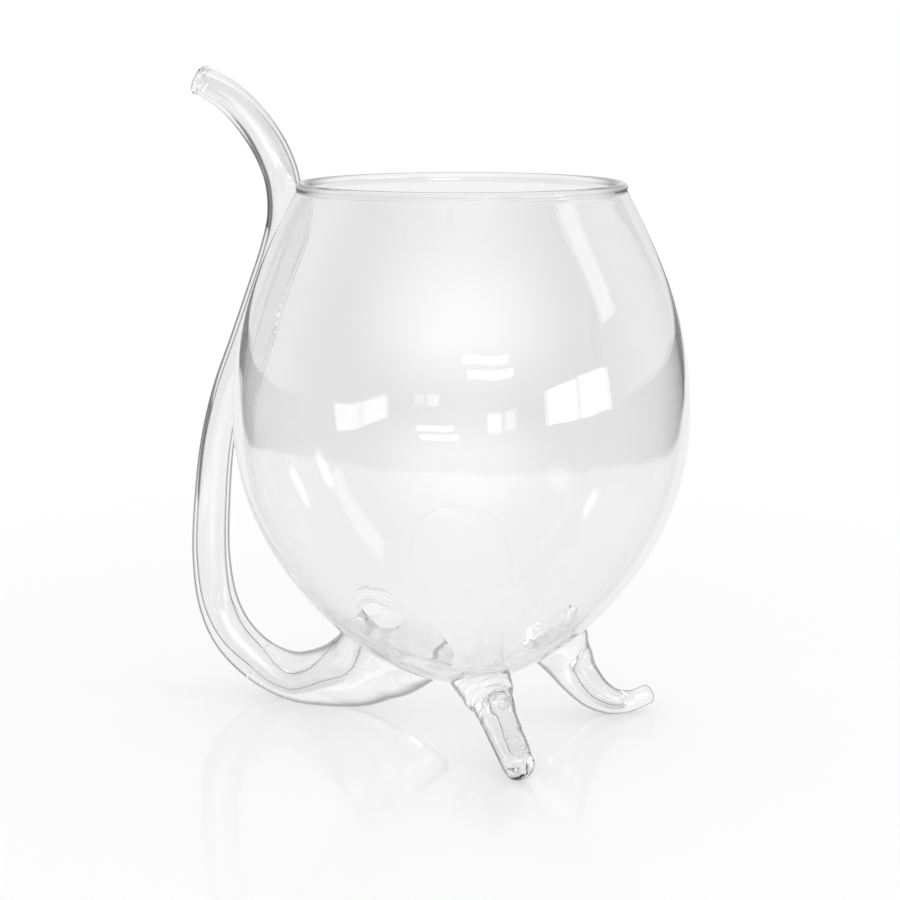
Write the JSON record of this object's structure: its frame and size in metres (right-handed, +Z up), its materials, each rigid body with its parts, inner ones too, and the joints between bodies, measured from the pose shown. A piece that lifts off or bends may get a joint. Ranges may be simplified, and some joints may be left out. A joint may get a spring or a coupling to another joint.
{
  "type": "straw glass",
  "caption": "Clear drinking glass with an egg-shaped bowl on horn-shaped legs and a built-in straw that starts under the bowl, curls up its side and rises past the rim.",
  "frame": {"origin": "on the table, under the middle of the bounding box", "axes": "+Z up along the bowl's axis, -X towards the straw, +X towards the two legs, +Y to the left of someone who looks along +X from the straw"},
  "size_m": [0.1016, 0.085, 0.1255],
  "materials": {
    "clear_glass": "clear colourless glass wall, fire-polished",
    "fused_glass": "clear solid glass of the fused joints and toes, fire-polished"
  },
  "bodies": {
    "root": {"bowl": "clear_glass", "straw_root_weld": "fused_glass", "straw_root": "clear_glass", "straw_tube": "clear_glass", "lower_tack_weld": "fused_glass", "upper_tack_weld": "fused_glass", "front_leg_weld": "fused_glass", "front_leg_horn": "clear_glass", "front_leg_toe": "fused_glass", "rear_leg_weld": "fused_glass", "rear_leg_horn": "clear_glass", "rear_leg_toe": "fused_glass"}
  },
  "joints": []
}
